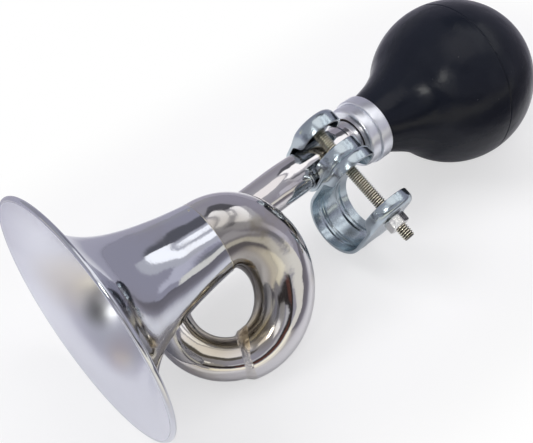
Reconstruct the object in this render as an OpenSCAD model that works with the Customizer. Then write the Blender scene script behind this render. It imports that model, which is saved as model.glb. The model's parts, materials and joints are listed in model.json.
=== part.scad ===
// Bulb horn for a bicycle, with a looped brass tube, a rubber bulb and a two-band handlebar clamp.
// Lengths are in millimetres. The horn is drawn about its straight stem: the stem runs along X with
// the bulb at +X, the clamp bolt runs along Y, and lay() then turns the whole horn about X so that it
// lies on a table on its bell rim, its loop and its bulb.

/* [Bell] */
// Diameter across the hem of the bell's mouth
mouth_d = 98.2; // [92:0.2:104]
// Diameter of the bell where the loop begins
throat_d = 29.6; // [29:0.2:30.2]
// Length of the bell from its mouth to the soldered seam
bell_len = 53.8; // [50:0.1:60]
// How far before the mouth the flare's curve begins; less makes the mouth open more suddenly
flare_lead = 4.9; // [4:0.1:7]
// Thickness of the brass sheet in the bell and the loop
sheet_t = 1; // [0.8:0.1:1.2]
// Thickness of the hem that is folded round the mouth
hem_d = 2; // [1.8:0.1:2.6]
// Height of the bell's axis over the stem's axis
bell_rise = 15.9; // [15.4:0.1:16.8]
// Distance of the bell's axis to the side of the stem's axis
bell_side = 5; // [4:0.5:6]

/* [Loop] */
// Distance along the stem from the clamp bolt to the middle of the loop
loop_to_bolt = 66.9; // [66.8:0.1:71]
// Outer diameter of the wide part of the loop at its small end
coil_end_d = 19.2; // [19:0.1:19.6]
// Slope at which the wide part of the loop leaves the bell
coil_pitch = 0.16; // [0.08:0.01:0.2]

/* [Stem] */
// Outer diameter of the stem and of the bent tube
stem_d = 16.6; // [16:0.2:17]
// Wall of the stem tube
stem_t = 1; // [0.8:0.1:1.2]
// Radius of the bent part of the tube in the loop, to its middle
bend_r = 22.5; // [22:0.1:23]
// Angle through which that part is bent
bend_turn = 162; // [158:1:166]
// Slope of the bent part across the loop, in degrees
bend_slope = 4; // [2:0.5:6]
// Length by which the bent tube reaches into the wide part
tube_lap = 2.2; // [1.5:0.1:2.4]
// Angle by which the stem dips to pass under the bell
stem_dip = 12.5; // [12:0.1:13]
// Distance from the clamp bolt back to the corner of that dip
dip_to_bolt = 22.2; // [22:0.1:25]
// Radius of the dip, to the tube's middle
dip_r = 40; // [30:1:45]
// Distance from the clamp bolt to the end of the stem inside the bulb's socket
stem_end = 24.8; // [24:0.2:26]
// Length of the ferrule that stiffens the end of the stem
ferrule_len = 12.4; // [10:0.2:13]
// Thickness of the ferrule
ferrule_t = 0.45; // [0.4:0.05:0.5]

/* [Reed] */
// Diameter of the reed's half-round body
shallot_d = 8.6; // [8:0.2:9]
// Length of the reed's body beyond the end of the stem
shallot_len = 33; // [28:1:36]
// Width of the reed's brass tongue
tongue_w = 6.4; // [5.6:0.2:7]
// Thickness of the tongue
tongue_t = 0.3; // [0.2:0.05:0.4]
// Angle at which the tongue stands open at rest
tongue_open = 2; // [1.6:0.1:2.4]

/* [Bulb] */
// Diameter of the rubber ball
bulb_d = 71.4; // [66:0.2:74]
// Thickness of the rubber
bulb_t = 2.8; // [2:0.1:3.5]
// Distance from the rear of the collar to the middle of the ball
bulb_reach = 48; // [45:0.2:50]
// Angle by which the ball droops to the side
bulb_droop = 5.5; // [0:0.5:7]
// Angle by which the ball lifts towards the bell's side
bulb_lift = 1.6; // [0:0.2:2]
// Length of the straight neck that shows behind the collar
neck_gap = 1.2; // [1:0.1:2]
// Diameter of the rubber neck where it leaves the collar
neck_d = 26.4; // [25.6:0.2:26.8]
// Diameter of the front cup of the metal collar
collar_front_d = 27; // [26.4:0.2:27.6]
// Diameter of the rear ring of the collar
collar_d = 28.9; // [28.6:0.1:30]
// Length of the front cup
collar_front_len = 5.4; // [5:0.2:6]
// Length of the rear ring
collar_rear_len = 5.6; // [5:0.2:6]
// Thickness of the collar's metal
collar_t = 1.1; // [1:0.05:1.2]
// Diameter of the hole in the front of the collar
collar_hole_d = 18.6; // [18.2:0.1:19]
// Distance from the clamp bolt to the front of the collar
collar_to_bolt = 17.2; // [16.8:0.2:18]
// Outer diameter of the inner socket tube that the rubber neck grips
socket_d = 20.8; // [20.4:0.1:21.2]
// Length of the socket tube
socket_len = 24; // [20:0.5:28]

/* [Clamp] */
// Width of both clamp bands
band_w = 20.4; // [19:0.2:20.6]
// Thickness of the band steel
band_t = 1.4; // [1.2:0.1:1.5]
// Diameter of the handlebar that the larger band takes
bar_d = 26; // [25:0.2:26]
// Free play of a handlebar in the larger band, on the diameter
bar_play = 0.2; // [0.1:0.05:0.3]
// Distance from the bolt to the middle of the handlebar
bar_drop = 18.5; // [17.8:0.1:18.6]
// How much further than the stem band's ears those of the handlebar's band reach over the bolt
bar_ear_up = 1.8; // [0:0.1:2]
// Angle at which the handlebar's band rests, turned about the bolt from the stem's line
bar_rest = 3; // [0:0.5:4]
// Distance from the stem's middle up to the bolt
bolt_rise = 12; // [11.6:0.1:12.6]
// Depth of the rim round each ear
ear_rim = 4; // [3:0.1:4.4]
// Gap between the two ears that lie side by side
ear_gap = 0.1; // [0.06:0.02:0.2]

/* [Bolt and nut] */
// Diameter of the bolt
bolt_d = 5; // [4.8:0.1:5.2]
// Length of the bolt under its head
bolt_len = 59; // [58.5:0.5:62]
// Width across the flats of the nut
hex_w = 8; // [7.5:0.1:9]
// Diameter of the bolt's low round head
head_d = 9.4; // [9:0.2:10]
// Height of the bolt's head
head_t = 1.9; // [1.6:0.1:2.2]
// Width of the screwdriver slot in the head
slot_w = 1.2; // [1:0.1:1.4]
// Thickness of the nut
nut_t = 4.7; // [4:0.1:5]

/* [Fits] */
// Radial clearance of parts that turn or slide on each other
fit = 0.05; // [0.03:0.01:0.08]
// Angle about X by which the horn is turned to lie on the table
lie_angle = 18; // [16:0.1:20]

/* [Hidden] */
$fn = 72;
chrome = [0.80, 0.80, 0.82];
zinc = [0.66, 0.70, 0.73];
passivated = [0.72, 0.68, 0.48];
brass = [0.80, 0.66, 0.34];
solder = [0.62, 0.56, 0.42];
black_rubber = [0.13, 0.13, 0.15];

// Places along the stem, counted from the clamp bolt at X = 0
stem_r = stem_d / 2;
bore_r = stem_r - stem_t;
loop_x = -loop_to_bolt;
seam_x = loop_x;
mouth_x = seam_x - bell_len;
dip_x = -dip_to_bolt;
mouth_r = mouth_d / 2;
throat_r = throat_d / 2;
bell_y = -bell_side;
bell_z = bell_rise;

// The stem's dip and the bent tube of the loop
dip_lead = dip_r * tan(stem_dip / 2);
stem_start = dip_x + dip_lead;
back = [-1, 0, 0];
down = [0, 0, -1];
dip_dir = [-cos(stem_dip), 0, -sin(stem_dip)];
dip_end = [stem_start, 0, 0] + dip_r * (1 - cos(stem_dip)) * down + dip_r * sin(stem_dip) * back;
bend_start = [loop_x, 0, (loop_x - dip_x) * tan(stem_dip)];
dip_run = norm(bend_start - dip_end);
bend_in = [sin(stem_dip) * sin(bend_slope), -cos(bend_slope), -cos(stem_dip) * sin(bend_slope)];
function bend_point(a) = bend_start + bend_r * ((1 - cos(a)) * bend_in + sin(a) * dip_dir);
function bend_dir(a) = cos(a) * dip_dir + sin(a) * bend_in;
joint_p = bend_point(bend_turn);
joint_dir = bend_dir(bend_turn);

// The wide part of the loop: a round turn in plan, from the bell's seam to the end of the bent tube.
// Its height follows a smooth curve whose slope agrees with the bell at one end and the tube at the other.
coil_in = throat_r;
coil_out = coil_end_d / 2;
coil_dx = joint_p[0] - loop_x;
coil_dy = bell_y - joint_p[1];
coil_r = (coil_dx * coil_dx + coil_dy * coil_dy) / (2 * coil_dy);
coil_turn = 180 + asin(-coil_dx / coil_r);
coil_len = coil_r * coil_turn * PI / 180;
coil_in_slope = coil_pitch;
coil_out_slope = -joint_dir[2] / norm([joint_dir[0], joint_dir[1]]);
coil_steps = 24;
coil_sides = 12;
function rise(t) = (2 * pow(t, 3) - 3 * t * t + 1) * bell_z + (3 * t * t - 2 * pow(t, 3)) * joint_p[2]
    + (pow(t, 3) - 2 * t * t + t) * coil_in_slope * coil_len
    + (pow(t, 3) - t * t) * coil_out_slope * coil_len;
function rise_slope(t) = (rise(t + 0.001) - rise(t - 0.001)) / (0.002 * coil_len);
function coil_point(a) = [
    loop_x + coil_r * sin(a),
    bell_y - coil_r * (1 - cos(a)),
    rise(a / coil_turn)];
function unit(v) = v / norm(v);
function coil_dir(a) = unit([cos(a), -sin(a), rise_slope(a / coil_turn)]);
function coil_radius(a) = coil_in + (coil_out - coil_in) * a / coil_turn;

// The flare is a horn curve: the radius falls as a power of the distance from a point before the mouth
flare_power = ln(mouth_r / throat_r) / ln((bell_len + flare_lead) / flare_lead);
function flare_r(x) = (mouth_r - hem_d / 2) * pow(flare_lead / (x + flare_lead), flare_power)
    + hem_d / 2 * x / bell_len * throat_r / mouth_r * 1.0;
function flare_slope(x) = (flare_r(x + 0.01) - flare_r(x)) / 0.01;
flare_steps = 26;
cut_room = 4;
function flare_x(i) = (bell_len + cut_room) * pow(i / flare_steps, 2);
function flare_inner(x) = let (s = flare_slope(x), n = sqrt(1 + s * s))
    [x + sheet_t * s / n, flare_r(x) - sheet_t / n];

// The clamp
band_r = stem_r + fit;
ear_a_y = band_r;
ear_b_y = -band_r;
bar_r = (bar_d + bar_play) / 2;
bar_ear_a_y = ear_b_y - band_t - ear_gap;
bar_y = bar_ear_a_y - band_t - bar_r;
bar_z = bolt_rise - bar_drop;
bar_ear_b_y = bar_y - bar_r;
bolt_hole_r = bolt_d / 2 + fit;
nut_y = bar_ear_b_y - band_t;

// The collar, the socket and the bulb
collar_x = collar_to_bolt;
collar_step_x = collar_x + collar_front_len;
collar_rear_x = collar_step_x + collar_rear_len;
socket_bore_r = stem_r + ferrule_t + fit;
neck_front_r = collar_front_d / 2 - collar_t - fit;
neck_rear_r = collar_d / 2 - collar_t - fit;
neck_r = neck_d / 2;
bulb_r = bulb_d / 2;
bulb_dir = [cos(bulb_lift) * cos(bulb_droop), -cos(bulb_lift) * sin(bulb_droop), sin(bulb_lift)];
neck_x = collar_rear_x + neck_gap;
bulb_middle = [neck_x, 0, 0] + (bulb_reach - neck_gap) * bulb_dir;

// How the horn lies: its lowest points are on the hem, the ball and the loop
function lying(p) = [p[0], p[1] * cos(lie_angle) - p[2] * sin(lie_angle),
    p[1] * sin(lie_angle) + p[2] * cos(lie_angle)];
rim_low = lying([mouth_x, bell_y, bell_z])[2] - mouth_r;
ball_low = lying(bulb_middle)[2] - bulb_r;
coil_low = min([for (a = [90 : 2 : 180]) lying(coil_point(a))[2]
    - coil_radius(a) * sqrt(1 - pow(lying(coil_dir(a))[2], 2))]);
bend_low = min([for (a = [90 : 2 : bend_turn]) lying(bend_point(a))[2]
    - stem_r * sqrt(1 - pow(lying(bend_dir(a))[2], 2))]);
lie_height = -min(rim_low, ball_low, coil_low, bend_low);
origin_x = (mouth_x - hem_d / 2 + bulb_middle[0] + bulb_r) / 2;
origin_y = lying([mouth_x, bell_y, bell_z])[1];
echo(rim_low = rim_low, ball_low = ball_low, coil_low = coil_low, bend_low = bend_low);
echo(lie_height = lie_height, origin_x = origin_x, origin_y = origin_y, coil_r = coil_r, coil_turn = coil_turn,
    joint_bend = acos(-(coil_dir(coil_turn) * joint_dir)));

// Turns the horn about X to lie on the table and sets it down on Z = 0
module lay() {
    translate([-origin_x, -origin_y, lie_height]) rotate([lie_angle, 0, 0]) children();
}

// Puts a piece that is drawn along Z at point p, pointing along direction d
module along(p, d) {
    side = abs(d[2]) > 0.99 ? [1, 0, 0] : unit(cross([0, 0, 1], d));
    up = cross(d, side);
    multmatrix([
        [side[0], up[0], d[0], p[0]],
        [side[1], up[1], d[1], p[1]],
        [side[2], up[2], d[2], p[2]],
        [0, 0, 0, 1]]) children();
}

// A straight tube from point p along d
module pipe(p, d, len, r, wall) {
    along(p, d) difference() {
        cylinder(h = len, r = r);
        translate([0, 0, -1]) cylinder(h = len + 2, r = r - wall);
    }
}

// A bent rod from point p, heading along d and turning towards n
module bent_rod(p, d, n, radius, turn, r) {
    out = -n;
    up = cross(out, d);
    middle = p + radius * n;
    multmatrix([
        [out[0], d[0], up[0], middle[0]],
        [out[1], d[1], up[1], middle[1]],
        [out[2], d[2], up[2], middle[2]],
        [0, 0, 0, 1]])
        rotate_extrude(angle = turn) translate([radius, 0]) circle(r = r);
}

// The whole run of the stem and its bends as a solid rod, longer at both ends by extra; the straight
// lengths reach a little into the bends so that the two join
module stem_rod(r, extra) {
    lap = 0.3;
    bent_r = r - 0.04;
    along([stem_start - lap, 0, 0], [1, 0, 0]) cylinder(h = stem_end - stem_start + lap + extra, r = r);
    bent_rod([stem_start, 0, 0], back, down, dip_r, stem_dip, bent_r);
    along(dip_end - lap * dip_dir, dip_dir) cylinder(h = dip_run + 2 * lap, r = r);
    bent_rod(bend_start, dip_dir, bend_in, bend_r, bend_turn, bent_r);
    along(joint_p - lap * joint_dir, joint_dir) cylinder(h = tube_lap + lap + extra, r = r);
}

// Turns a profile about the X axis; the profile's first number is along X
module turned() {
    rotate([0, 90, 0]) rotate([0, 0, 90]) rotate_extrude() children();
}

// The seam is cut square to the loop, which leaves the bell's axis at a small angle
seam_p = [seam_x, bell_y, bell_z];
seam_tilt = atan(coil_pitch);
seam_shift = (flare_r(bell_len - throat_r * sin(seam_tilt)) - flare_r(bell_len + throat_r * sin(seam_tilt))) / 2;

module bell() {
    outer = [for (i = [0 : flare_steps]) let (x = flare_x(i)) [flare_r(x), x]];
    inner = [for (i = [flare_steps : -1 : 0]) let (q = flare_inner(flare_x(i))) [q[1], q[0]]];
    color(chrome) difference() {
        translate([mouth_x, bell_y, bell_z]) union() {
            turned() polygon(concat(outer, inner));
            turned() translate([mouth_r - hem_d / 2, 0]) circle(d = hem_d, $fn = 24);
        }
        along(seam_p, coil_dir(0)) translate([-throat_d, -throat_d, 0])
            cube([2 * throat_d, 2 * throat_d, 3 * cut_room]);
    }
}

module bell_solder() {
    inside = throat_r + 0.4;
    color(solder) along(seam_p, coil_dir(0)) translate([0, seam_shift, 0]) rotate_extrude() difference() {
        translate([inside - 0.1, 0]) circle(r = 0.5, $fn = 16);
        translate([0, -1]) square([inside, 2]);
    }
}

// Half of the loop's wide part, stamped from sheet: the upper half lies over the middle of the tube and
// the lower half under it. A section is an open C of even wall, and the sections follow the turn.
module coil_half(side) {
    function ring(p, d, r) = let (out = unit([-d[1], d[0], 0]), up = cross(d, out))
        [for (k = [0 : coil_sides]) let (a = 180 * k / coil_sides)
            p + r * (cos(a) * out + side * sin(a) * up)];
    function backwards(v) = [for (k = [len(v) - 1 : -1 : 0]) v[k]];
    function section(p, d, r) = concat(ring(p, d, r), backwards(ring(p, d, r - sheet_t)));
    turns = [for (i = [0 : coil_steps]) let (a = coil_turn * i / coil_steps)
        section(coil_point(a), coil_dir(a), coil_radius(a))];
    rings = turns;
    m = 2 * (coil_sides + 1);
    last = len(rings) - 1;
    points = [for (s = rings) for (p = s) p];
    walls = [for (i = [0 : last - 1]) for (k = [0 : m - 1]) let (q = (k + 1) % m)
        each [[i * m + k, i * m + q, (i + 1) * m + q], [i * m + k, (i + 1) * m + q, (i + 1) * m + k]]];
    ends = [for (i = [0, last]) for (k = [0 : coil_sides - 1])
        let (a = i * m + k, b = a + 1, c = i * m + m - 2 - k, d = c + 1)
        each (i == 0 ? [[a, c, b], [a, d, c]] : [[a, b, c], [a, c, d]])];
    faces = concat(walls, ends);
    polyhedron(points, side > 0 ? faces : [for (f = faces) [f[2], f[1], f[0]]]);
}

module coil_upper_half() {
    color(chrome) coil_half(1);
}

module coil_lower_half() {
    color(chrome) coil_half(-1);
}

module coil_solder() {
    bead = 2.2;
    color(solder) along(joint_p, -joint_dir) difference() {
        translate([0, 0, 0.25]) cylinder(h = bead, r1 = coil_out - 0.1, r2 = stem_r + 0.7);
        translate([0, 0, -1]) cylinder(h = bead + 2, r = stem_r + 0.25);
    }
}

module stem_tube() {
    color(chrome) difference() {
        stem_rod(stem_r, 0);
        stem_rod(bore_r, 1);
    }
}

module stem_ferrule() {
    color(chrome) pipe([stem_end - ferrule_len, 0, 0], [1, 0, 0], ferrule_len, stem_r + ferrule_t, ferrule_t);
}

// The reed: a holder pressed into the stem, a half-round body with a flat face, and a springy tongue.
// The tongue's rolled root lies on the face under the clip, and the tongue beats about it.
shallot_r = shallot_d / 2;
shallot_t = 0.8;
reed_x = stem_end;
holder_len = 9;
flange_t = 1.2;
face_z = 0.6;
face_x = reed_x + flange_t + 0.1;
root_gap = 5.7;
tail_len = 3;
root_r = tongue_t / 2 + 0.1;
tongue_root = face_x + root_gap;
tongue_tip = reed_x + shallot_len - tail_len;
root_z = face_z + root_r + 0.02;

module reed_holder() {
    flange_r = stem_r + ferrule_t - 0.1;
    color(brass) difference() {
        union() {
            translate([reed_x - holder_len, 0, 0]) rotate([0, 90, 0]) cylinder(h = holder_len, r = bore_r - 0.02);
            translate([reed_x, 0, 0]) rotate([0, 90, 0]) cylinder(h = flange_t, r = flange_r);
        }
        translate([reed_x - holder_len - 1, 0, 0]) rotate([0, 90, 0])
            cylinder(h = holder_len + flange_t + 2, r = shallot_r + 0.02);
    }
}

module reed_shallot() {
    hidden = 6;
    half = sqrt(pow(shallot_r - shallot_t, 2) - pow(face_z - shallot_t / 2, 2)) + 0.2;
    color(brass) difference() {
        translate([reed_x - hidden, 0, 0]) rotate([0, 90, 0]) cylinder(h = hidden + shallot_len, r = shallot_r);
        translate([reed_x - hidden - 1, 0, 0]) rotate([0, 90, 0])
            cylinder(h = hidden + shallot_len, r = shallot_r - shallot_t);
        translate([face_x, -shallot_r - 1, face_z]) cube([shallot_len, shallot_d + 2, shallot_r]);
    }
    color(brass) difference() {
        translate([face_x, -half, face_z - shallot_t])
            cube([shallot_len - flange_t - 0.5, 2 * half, shallot_t]);
        translate([tongue_root + tail_len, -tongue_w / 4, face_z - 2])
            cube([tongue_tip - tongue_root - 2 * tail_len, tongue_w / 2, 4]);
    }
}

module reed_tongue() {
    color(brass) translate([tongue_root, 0, root_z]) rotate([0, -tongue_open, 0]) {
        translate([-tail_len, -tongue_w / 2, -tongue_t / 2])
            cube([tongue_tip - tongue_root + tail_len, tongue_w, tongue_t]);
        rotate([90, 0, 0]) translate([0, 0, -tongue_w / 2]) cylinder(h = tongue_w, r = root_r);
    }
}

module reed_clip() {
    wall = 1;
    tail_top = root_z - face_z + tongue_t / 2 + 0.2;
    side = tongue_w + 0.4;
    color(brass) difference() {
        translate([tongue_root - tail_len - 1, -side / 2 - wall, face_z])
            cube([tail_len - 0.4, side + 2 * wall, tail_top + wall]);
        translate([tongue_root - tail_len - 2, -side / 2, face_z - 0.1])
            cube([tail_len + 2, side, tail_top + 0.1]);
    }
}

module bulb_collar() {
    front_r = collar_front_d / 2;
    rear_r = collar_d / 2;
    shoulder = 1.6;
    color(zinc) translate([collar_x, 0, 0]) turned() difference() {
        union() {
            translate([0, shoulder]) square([front_r, collar_front_len - shoulder]);
            square([front_r - shoulder, collar_front_len]);
            translate([front_r - shoulder, shoulder]) circle(r = shoulder, $fn = 32);
            translate([0, collar_front_len]) square([rear_r, collar_rear_len]);
        }
        translate([-1, -1]) square([collar_hole_d / 2 + 1, collar_front_len + collar_rear_len]);
        translate([-1, collar_t]) square([front_r - collar_t + 1, collar_front_len]);
        translate([-1, collar_front_len + 0.3]) square([rear_r - collar_t + 1, collar_rear_len]);
    }
}

module bulb_socket() {
    wide = 3;
    color(brass) translate([collar_x + collar_t, 0, 0]) turned() difference() {
        union() {
            square([socket_d / 2, socket_len]);
            square([neck_front_r - 0.2, 0.8]);
        }
        translate([-1, -1]) square([socket_bore_r + 1, socket_len + 2]);
        translate([-1, -1]) square([collar_hole_d / 2 + 1, wide + 1]);
    }
}

// The ball's outline, from the collar's rear: a curve that leaves the neck and runs into the sphere. The
// neck's solid keeps just inside the sphere where the two join.
ball_join = 43;
neck_lean = 17;
join_lap = 0.05;
function curve(t, p) = pow(1 - t, 3) * p[0] + 3 * t * pow(1 - t, 2) * p[1] + 3 * t * t * (1 - t) * p[2]
    + pow(t, 3) * p[3];
function flank(r, reach, neck) = let (
    p0 = [neck - join_lap, 0],
    p3 = [r * sin(ball_join) - join_lap, reach - r * cos(ball_join)],
    h = norm(p3 - p0) / 3)
    [for (i = [0 : 8]) curve(i / 8, [p0, p0 + h * [sin(neck_lean), cos(neck_lean)],
        p3 - h * [cos(ball_join), sin(ball_join)], p3])];

// The ball and its flank lean about a small sphere in the neck, so that every seam is a true circle
module ball(r, reach, neck) {
    join_x = reach - r * cos(ball_join);
    join_r = r * sin(ball_join) - join_lap;
    sphere(r = neck);
    rotate([0, -bulb_lift, -bulb_droop]) union() {
        turned() polygon(concat([[0, 0]], flank(r, reach, neck), [[join_r, join_x + 2], [0, join_x + 2]]));
        intersection() {
            translate([reach, 0, 0]) sphere(r = r, $fn = 128);
            translate([join_x, -2 * r, -2 * r]) cube([3 * r, 4 * r, 4 * r]);
        }
    }
}

module bulb() {
    front = collar_x + collar_t + 1;
    bore = socket_d / 2 + fit;
    color(black_rubber) difference() {
        union() {
            translate([neck_x, 0, 0]) ball(bulb_r, bulb_reach - neck_gap, neck_r);
            translate([front, 0, 0]) rotate([0, 90, 0])
                cylinder(h = collar_step_x + 0.6 - front, r = neck_front_r);
            translate([collar_step_x + 0.4, 0, 0]) rotate([0, 90, 0])
                cylinder(h = collar_rear_len - 0.8, r = neck_rear_r);
        }
        translate([neck_x, 0, 0]) ball(bulb_r - bulb_t, bulb_reach - neck_gap, bore + 0.35);
        translate([front - 6, 0, 0]) rotate([0, 90, 0]) cylinder(h = neck_x - front + 5, r = bore);
    }
}

// An ear's outline, round over the bolt and straight down to the band
module ear_outline(width, drop, up) {
    translate([0, up]) circle(d = width);
    translate([-width / 2, -drop]) square([width, drop + up]);
}

// A flat ear with a rim round its end, standing at height y, its rim on the side that inward points to
module ear(y, inward, drop, rim_drop, up) {
    shift = inward > 0 ? -band_t : 0;
    translate([0, y + shift, 0]) rotate([90, 0, 0]) mirror([0, 0, 1]) {
        linear_extrude(band_t) ear_outline(band_w, drop, up);
        translate([0, 0, inward > 0 ? 0 : -ear_rim]) linear_extrude(band_t + ear_rim) difference() {
            ear_outline(band_w, rim_drop, up);
            ear_outline(band_w - 2 * band_t, rim_drop + 1, up);
            translate([-band_w, -rim_drop - band_w]) square([2 * band_w, band_w]);
        }
    }
}

// A band, with the bolt at Z = 0: half a ring of steel under the tube or bar, and an ear on each side
module band(y, drop, r, rim_drop, up) {
    difference() {
        union() {
            translate([-band_w / 2, y, -drop]) rotate([90, 0, 90]) linear_extrude(band_w) difference() {
                circle(r = r + band_t);
                circle(r = r);
                translate([-2 * r, 0]) square([4 * r, 2 * r]);
            }
            ear(y + r, -1, drop, rim_drop, up);
            ear(y - r, 1, drop, rim_drop, up);
        }
        translate([0, y - 2 * r, 0]) rotate([-90, 0, 0]) cylinder(h = 4 * r, r = bolt_hole_r);
    }
}

module stem_band() {
    color(zinc) translate([0, 0, bolt_rise]) band(0, bolt_rise, band_r, bolt_rise - stem_r - 0.6, 0);
}

module bar_band() {
    color(zinc) translate([0, 0, bolt_rise]) rotate([0, bar_rest, 0])
        band(bar_y, bar_drop, bar_r, 3.4, bar_ear_up);
}

// The bolt: a low domed head with a slot, a plain shank where the thread is, and a chamfered end
module clamp_bolt() {
    head_y = ear_a_y + band_t;
    tip = 0.8;
    dome_r = (pow(head_d / 2, 2) + pow(head_t, 2)) / (2 * head_t);
    color(passivated) translate([0, head_y, bolt_rise]) rotate([90, 0, 0]) union() {
        cylinder(h = bolt_len - tip, d = bolt_d);
        translate([0, 0, bolt_len - tip]) cylinder(h = tip, d1 = bolt_d, d2 = bolt_d - 1.4);
        difference() {
            intersection() {
                translate([0, 0, dome_r - head_t]) sphere(r = dome_r);
                translate([0, 0, -head_t - 1]) cylinder(h = head_t + 1, d = head_d - 0.1);
            }
            translate([-head_d, -slot_w / 2, -head_t - 1]) cube([2 * head_d, slot_w, head_t * 0.5 + 1]);
        }
    }
}

module clamp_nut() {
    color(passivated) translate([0, nut_y - fit, bolt_rise]) rotate([90, 0, 0]) difference() {
        intersection() {
            cylinder(h = nut_t, d = hex_w / cos(30), $fn = 6);
            cylinder(h = nut_t, d1 = hex_w * 1.3, d2 = hex_w * 1.04);
        }
        translate([0, 0, -1]) cylinder(h = nut_t + 2, r = bolt_hole_r);
    }
}

lay() {
    bell();
    bell_solder();
    coil_upper_half();
    coil_lower_half();
    coil_solder();
    stem_tube();
    stem_ferrule();
    reed_holder();
    reed_shallot();
    reed_tongue();
    reed_clip();
    bulb_collar();
    bulb_socket();
    bulb();
    stem_band();
    bar_band();
    clamp_bolt();
    clamp_nut();
}
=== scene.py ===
import bmesh
import bpy
import json
import math
import numpy as np
from mathutils import Matrix, Vector, noise


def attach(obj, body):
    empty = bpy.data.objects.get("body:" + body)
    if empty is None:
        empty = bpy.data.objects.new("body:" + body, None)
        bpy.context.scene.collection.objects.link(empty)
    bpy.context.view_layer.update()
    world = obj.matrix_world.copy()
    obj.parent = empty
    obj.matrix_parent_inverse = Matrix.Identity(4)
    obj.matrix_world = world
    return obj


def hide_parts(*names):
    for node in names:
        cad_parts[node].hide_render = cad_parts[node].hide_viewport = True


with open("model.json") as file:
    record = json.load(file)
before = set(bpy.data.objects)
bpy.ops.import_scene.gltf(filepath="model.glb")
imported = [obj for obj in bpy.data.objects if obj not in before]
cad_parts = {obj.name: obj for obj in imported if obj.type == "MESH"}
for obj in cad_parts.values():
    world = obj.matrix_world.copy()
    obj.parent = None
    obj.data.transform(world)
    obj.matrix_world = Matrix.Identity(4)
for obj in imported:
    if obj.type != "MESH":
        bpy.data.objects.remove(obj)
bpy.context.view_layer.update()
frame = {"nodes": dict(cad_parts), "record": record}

# Placing
# The horn is worked out about its stem in millimetres: stem along X, clamp bolt along Y at X = 0.
# to_row lays it on the table as the CAD does, in metres.
LIE, ORIGIN_X, ORIGIN_Y, HEIGHT = math.radians(18.0), -5.01681, -9.66865, 35.8428
TURN = np.array(Matrix.Rotation(LIE, 3, "X"))


def to_row(points):
    p = np.asarray(points, float).reshape(-1, 3) @ TURN.T
    return (p + np.array([-ORIGIN_X, -ORIGIN_Y, HEIGHT])) / 1000.0


def row_point(x, y, z):
    return tuple(float(v) for v in to_row([(x, y, z)])[0])


def row_dir(v):
    return Vector(TURN @ np.asarray(v, float)).normalized()


def unit(v):
    v = np.asarray(v, float)
    return v / np.linalg.norm(v)


# Sizes, as in the CAD
MOUTH_R, THROAT_R, BELL_LEN, FLARE_LEAD = 49.1, 14.8, 53.8, 4.9
SHEET, HEM_R = 1.0, 1.0
LOOP_X = -66.9
MOUTH_X = LOOP_X - BELL_LEN
BELL_Y, BELL_Z = -5.0, 15.9
STEM_R, BORE_R, STEM_END = 8.3, 7.3, 24.8
BEND_R, BEND_TURN, BEND_SLOPE = 22.5, math.radians(162), math.radians(4)
DIP, DIP_X, DIP_R = math.radians(12.5), -22.2, 40.0
COIL_OUT, COIL_SLOPE = 9.6, 0.16
BALL_R, BALL_REACH, DROOP, LIFT, RUBBER_T = 35.7, 48.0, math.radians(5.5), math.radians(1.6), 2.8
NECK_GAP, NECK_R, SOCKET_R = 1.2, 13.2, 10.4
COLLAR_X, COLLAR_T, HOLE_R = 17.2, 1.1, 9.3
CUP_R, CUP_LEN, RING_R, RING_LEN = 13.5, 5.4, 14.45, 5.6
BAND_HALF, BAND_T, RIM = 10.2, 1.4, 4.0
BAR_R, BAR_DROP, EAR_UP, REST = 13.1, 18.5, 1.8, math.radians(3)
BOLT_Z, BOLT_R, BOLT_LEN = 12.0, 2.5, 59.0
HEAD_R, HEAD_T, SLOT_W = 4.65, 1.9, 1.2
HEX_W, NUT_T = 8.0, 4.7
FIT, GAP = 0.05, 0.1

# Sizes of what only this script draws. The thread has the pitch that the picture shows, while the
# joints turn by the standard 0.8.
THREAD_PITCH, THREAD_ROOT = 0.97, 2.0
SEAM_LIP, LIP_DEEP, SHELL_GAP = 0.28, 0.22, 0.09
PARTING_DEEP, RIB_DEEP = 0.3, 0.32
BEAD_AT, BEAD_FACES, BEAD_R, BEAD_HIGH = (-70.42, 4.27, 27.59), (0.13, 0.62, 0.78), 0.62, 0.3

# Worked out from them: the bell's flare, and the run of the tube and the loop
FLARE_POWER = math.log(MOUTH_R / THROAT_R) / math.log((BELL_LEN + FLARE_LEAD) / FLARE_LEAD)
stem_start = DIP_X + DIP_R * math.tan(DIP / 2)
dip_dir = np.array([-math.cos(DIP), 0, -math.sin(DIP)])
bend_start = np.array([LOOP_X, 0, (LOOP_X - DIP_X) * math.tan(DIP)])
bend_in = np.array([math.sin(DIP) * math.sin(BEND_SLOPE), -math.cos(BEND_SLOPE),
                    -math.cos(DIP) * math.sin(BEND_SLOPE)])


def bend_point(a):
    return bend_start + BEND_R * ((1 - math.cos(a)) * bend_in + math.sin(a) * dip_dir)


def bend_dir(a):
    return math.cos(a) * dip_dir + math.sin(a) * bend_in


joint_p, joint_dir = bend_point(BEND_TURN), bend_dir(BEND_TURN)
coil_dx, coil_dy = joint_p[0] - LOOP_X, BELL_Y - joint_p[1]
COIL_R = (coil_dx ** 2 + coil_dy ** 2) / (2 * coil_dy)
COIL_TURN = math.pi + math.asin(-coil_dx / COIL_R)
COIL_LEN = COIL_R * COIL_TURN
coil_end_slope = -joint_dir[2] / math.hypot(joint_dir[0], joint_dir[1])


def coil_rise(t):
    """The loop's height: a cubic from the bell's height and slope to the tube's."""
    return ((2 * t ** 3 - 3 * t * t + 1) * BELL_Z + (3 * t * t - 2 * t ** 3) * joint_p[2]
            + (t ** 3 - 2 * t * t + t) * COIL_SLOPE * COIL_LEN
            + (t ** 3 - t * t) * coil_end_slope * COIL_LEN)


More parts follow.
